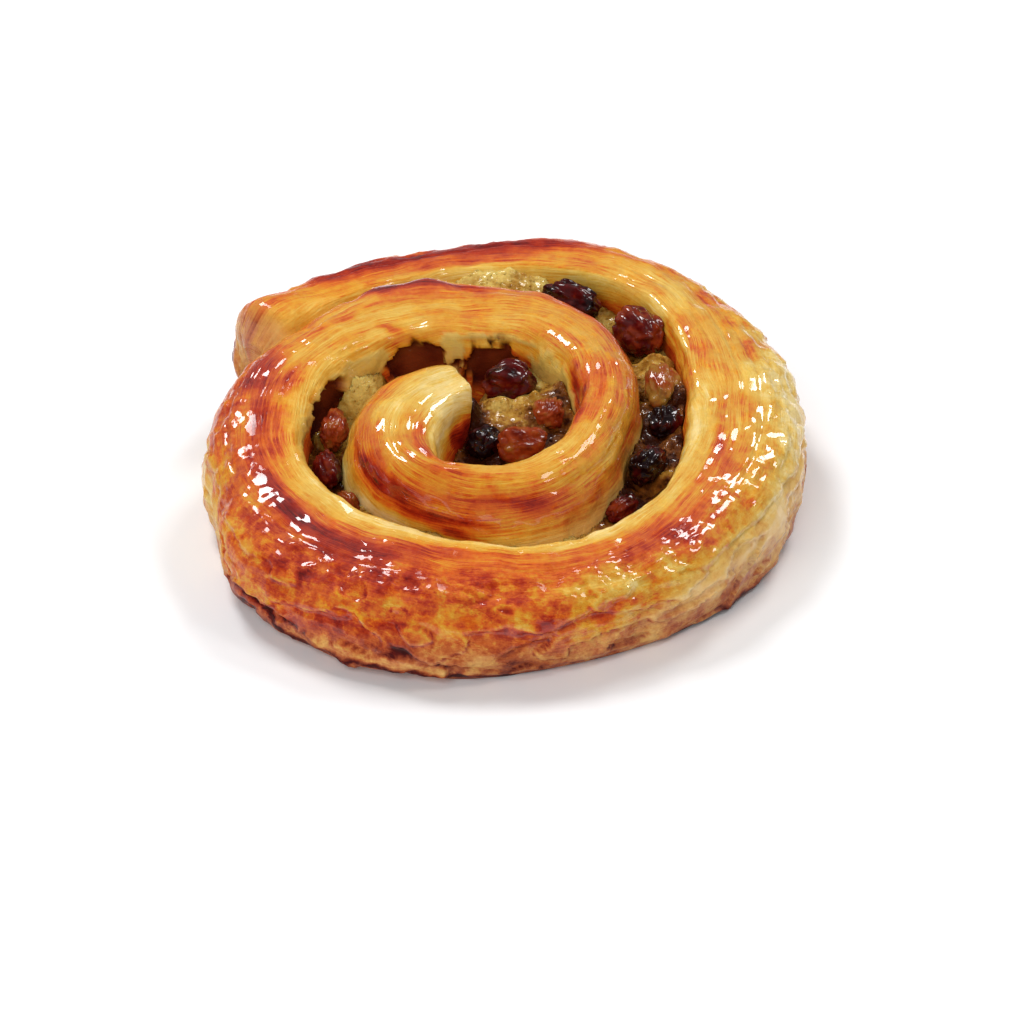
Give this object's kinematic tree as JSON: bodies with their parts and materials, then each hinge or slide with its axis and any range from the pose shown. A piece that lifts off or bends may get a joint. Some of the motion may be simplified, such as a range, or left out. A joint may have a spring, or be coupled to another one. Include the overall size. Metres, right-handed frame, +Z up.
{
  "type": "danish_pastry",
  "caption": "Raisin danish: a coiled strip of glazed flaky dough, domed in the middle, with baked custard and raisins in the gap between its turns; rests on its flat base.",
  "frame": {"origin": "on the surface it stands on, under the middle of the pastry's outline", "axes": "+Z up; +X to the right and +Y away when seen with the loose tail end of the coil at the back left"},
  "size_m": [0.1091, 0.1193, 0.0271],
  "materials": {
    "glazed_crust": "baked golden to dark red-brown, egg-washed and glazed",
    "custard": "grainy baked custard, moist",
    "raisin": "dark, wrinkled, wet with syrup"
  },
  "bodies": {
    "root": {"dough": "glazed_crust", "custard": "custard", "raisin_back": "raisin", "raisin_back_right": "raisin", "raisin_coated": "raisin", "raisin_right": "raisin", "raisin_front_right": "raisin", "raisin_low_gap": "raisin", "raisin_core_back": "raisin", "raisin_core_left": "raisin", "raisin_core_front": "raisin", "raisin_core_right": "raisin", "raisin_left": "raisin", "raisin_left_low": "raisin", "raisin_left_front": "raisin"}
  },
  "joints": []
}
